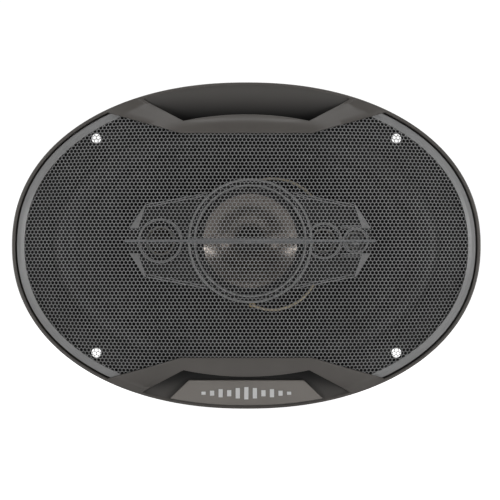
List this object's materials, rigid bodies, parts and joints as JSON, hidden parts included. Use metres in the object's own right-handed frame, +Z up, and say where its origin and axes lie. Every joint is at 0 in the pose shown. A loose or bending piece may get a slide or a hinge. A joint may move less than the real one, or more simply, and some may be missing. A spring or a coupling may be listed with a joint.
{
  "type": "coaxial car speaker",
  "caption": "Oval coaxial car loudspeaker with a press-fit perforated grille, a sprung cone, and a bridge that carries a midrange driver and small tweeters in front of it.",
  "frame": {"origin": "centre of the four mounting holes, on the rear face of the flange", "axes": "+X to the right along the long axis, +Y rearwards from the front to the magnet, +Z up"},
  "size_m": [0.242, 0.1019, 0.1686],
  "materials": {
    "basket_steel": "satin black powder coat on pressed steel",
    "gasket_foam": "matte closed-cell foam",
    "surround_rubber": "matte butyl rubber",
    "cone_paper": "matte mica-filled cone",
    "spider_cloth": "resin-stiffened woven cloth",
    "former_film": "amber film",
    "copper_wire": "enamelled copper winding",
    "brass_fitting": "bright brass",
    "tinned_tab": "tinned",
    "plated_steel": "zinc plated",
    "rivet_steel": "plain steel",
    "ferrite": "fine-grained sintered ferrite",
    "boot_rubber": "matte moulded rubber",
    "bridge_plastic": "satin dark-grey moulding",
    "bar_plastic": "satin grey moulding",
    "bright_cone": "metallised film cone",
    "dark_dome": "glossy smoked film",
    "silver_dome": "satin metal dome",
    "capacitor_sleeve": "shrink sleeve",
    "phenolic_board": "brown phenolic paper board",
    "braided_lead": "braided tinsel lead",
    "grille_plastic": "smooth satin warm grey moulding",
    "grille_steel": "satin grey paint on perforated steel",
    "white_print": "raised white bars"
  },
  "bodies": {
    "frame": {"basket": "basket_steel", "grille_grommets": "boot_rubber", "front_gasket": "gasket_foam", "surround": "surround_rubber", "spider": "spider_cloth", "top_plate": "plated_steel", "magnet": "ferrite", "pole_yoke": "plated_steel", "magnet_boot": "boot_rubber", "motor_rivets": "rivet_steel", "centre_post": "plated_steel", "post_screw": "rivet_steel", "bridge_body": "bridge_plastic", "bridge_bar": "bar_plastic", "mid_trim_ring": "bridge_plastic", "mid_frame": "basket_steel", "mid_magnet": "plated_steel", "mid_surround": "surround_rubber", "left_tweeter_housing": "bridge_plastic", "left_tweeter_magnet": "plated_steel", "right_tweeter_housing": "bridge_plastic", "right_tweeter_magnet": "plated_steel", "super_tweeter_housing": "bridge_plastic", "super_tweeter_magnet": "plated_steel", "crossover_capacitors": "capacitor_sleeve", "terminal_board": "phenolic_board", "positive_terminal": "brass_fitting", "negative_terminal": "tinned_tab", "board_rivets": "rivet_steel", "tinsel_leads": "braided_lead", "front_leads": "braided_lead"},
    "woofer": {"woofer_cone": "cone_paper", "coil_former": "former_film", "voice_coil": "copper_wire", "dust_seal": "gasket_foam", "cone_eyelets": "brass_fitting"},
    "midrange": {"mid_cone": "bright_cone", "mid_dust_cap": "dark_dome", "mid_coil": "copper_wire"},
    "left_tweeter": {"left_tweeter_dome": "dark_dome"},
    "right_tweeter": {"right_tweeter_dome": "dark_dome"},
    "super_tweeter": {"super_tweeter_dome": "silver_dome"},
    "grille": {"grille_frame": "grille_plastic", "grille_mesh": "grille_steel", "badge_plate": "grille_plastic", "badge_bars": "white_print"}
  },
  "joints": [
    {"name": "woofer_travel", "type": "slide", "parent": "frame", "child": "woofer", "axis": [0, -1, 0], "range_m": [-0.006, 0.006], "stiffness_N_per_m": 2500, "deforming": ["surround", "spider", "tinsel_leads", "front_leads"]},
    {"name": "midrange_travel", "type": "slide", "parent": "frame", "child": "midrange", "axis": [0, -1, 0], "range_m": [-0.0005, 0.0005], "stiffness_N_per_m": 3000, "deforming": ["mid_surround"]},
    {"name": "left_tweeter_travel", "type": "slide", "parent": "frame", "child": "left_tweeter", "axis": [0, -1, 0], "range_m": [-0.0002, 0.0002], "stiffness_N_per_m": 1000},
    {"name": "right_tweeter_travel", "type": "slide", "parent": "frame", "child": "right_tweeter", "axis": [0, -1, 0], "range_m": [-0.0002, 0.0002], "stiffness_N_per_m": 1000},
    {"name": "super_tweeter_travel", "type": "slide", "parent": "frame", "child": "super_tweeter", "axis": [0, -1, 0], "range_m": [-0.0002, 0.0002], "stiffness_N_per_m": 1000},
    {"name": "grille_pull_off", "type": "slide", "parent": "frame", "child": "grille", "axis": [0, -1, 0], "range_m": [0, 0.06]}
  ]
}
